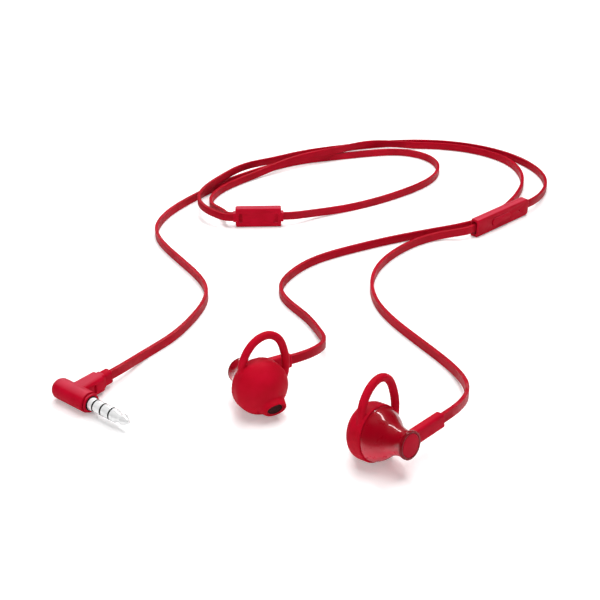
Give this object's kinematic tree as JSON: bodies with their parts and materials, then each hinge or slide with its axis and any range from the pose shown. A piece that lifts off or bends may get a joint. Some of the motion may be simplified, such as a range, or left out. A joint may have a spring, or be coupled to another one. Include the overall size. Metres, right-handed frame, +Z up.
{
  "type": "wired earphones",
  "caption": "Wired in-ear earphones with flat cables, silicone sleeves with stabilising loops, an in-line remote, a cable splitter and a right-angle audio plug.",
  "frame": {"origin": "bottom centre of the whole set as it lies on the table", "axes": "+Z up from the table; +Y from the plug and earpieces towards the back of the cable loop"},
  "size_m": [0.1594, 0.2294, 0.0218],
  "materials": {
    "cable_jacket": "matte",
    "copper": "satin",
    "jack_metal": "polished",
    "black_insulator": "gloss",
    "silicone": "matte",
    "soft_relief": "matte",
    "gloss_shell": "gloss",
    "ring": "gloss",
    "cap": "satin",
    "satin_shell": "satin",
    "mesh": "woven",
    "steel": "satin",
    "magnet": "satin",
    "film": "clear",
    "felt": "matte",
    "dark_plastic": "matte",
    "board": "satin"
  },
  "bodies": {
    "root": {"left_cable_jacket": "cable_jacket", "left_cable_wires": "copper", "main_cable_jacket": "cable_jacket", "main_cable_wires": "copper", "remote_back_cover": "satin_shell", "remote_circuit_board": "board", "remote_front_cover": "satin_shell", "remote_microphone": "dark_plastic", "remote_microphone_gasket": "felt", "remote_switch": "dark_plastic", "right_cable_lower_jacket": "cable_jacket", "right_cable_lower_wires": "copper", "right_cable_upper_jacket": "cable_jacket", "right_cable_upper_wires": "copper", "splitter_back_shell": "satin_shell", "splitter_front_shell": "satin_shell", "splitter_solder_block": "dark_plastic"},
    "plug": {"jack_base_ring": "black_insulator", "jack_insulator": "black_insulator", "jack_ring_far": "jack_metal", "jack_ring_near": "jack_metal", "jack_sleeve": "jack_metal", "jack_tip": "jack_metal", "plug_collar": "satin_shell", "plug_housing": "satin_shell", "plug_strain_relief": "soft_relief"},
    "remote_button": {"remote_button": "satin_shell"},
    "left_earpiece": {"left_housing": "gloss_shell", "left_strain_relief": "soft_relief", "left_trim_ring": "ring", "left_back_cap": "cap", "left_front_cover": "satin_shell", "left_nozzle_mesh": "mesh", "left_driver_frame": "dark_plastic", "left_driver_yoke": "steel", "left_driver_magnet": "magnet", "left_driver_top_plate": "steel", "left_voice_coil": "copper", "left_diaphragm": "film", "left_acoustic_damper": "felt"},
    "right_earpiece": {"right_housing": "gloss_shell", "right_strain_relief": "soft_relief", "right_trim_ring": "ring", "right_back_cap": "cap", "right_front_cover": "satin_shell", "right_nozzle_mesh": "mesh", "right_driver_frame": "dark_plastic", "right_driver_yoke": "steel", "right_driver_magnet": "magnet", "right_driver_top_plate": "steel", "right_voice_coil": "copper", "right_diaphragm": "film", "right_acoustic_damper": "felt"},
    "left_sleeve": {"left_silicone_sleeve": "silicone"},
    "right_sleeve": {"right_silicone_sleeve": "silicone"}
  },
  "joints": [
    {"name": "plug_swing", "type": "hinge", "parent": "root", "child": "plug", "pos_m": [-0.0658, -0.07099, 0.00308], "axis": [0, 0, 1], "range_deg": [-25, 25]},
    {"name": "remote_button_press", "type": "slide", "parent": "root", "child": "remote_button", "axis": [-0.6896, 0.7242, 0], "range_m": [0, 0.0003]},
    {"name": "left_earpiece_swing", "type": "hinge", "parent": "root", "child": "left_earpiece", "pos_m": [-0.01724, -0.06863, 0.00666], "axis": [0, 0, 1], "range_deg": [-25, 25]},
    {"name": "left_sleeve_pull_off", "type": "slide", "parent": "left_earpiece", "child": "left_sleeve", "axis": [0.4812, -0.8681, 0.1219], "range_m": [0, 0.008]},
    {"name": "right_earpiece_swing", "type": "hinge", "parent": "root", "child": "right_earpiece", "pos_m": [0.01979, -0.10085, 0.00906], "axis": [0, 0, 1], "range_deg": [-25, 25]},
    {"name": "right_sleeve_pull_off", "type": "slide", "parent": "right_earpiece", "child": "right_sleeve", "axis": [-0.7123, 0.6879, -0.1392], "range_m": [0, 0.008]}
  ]
}
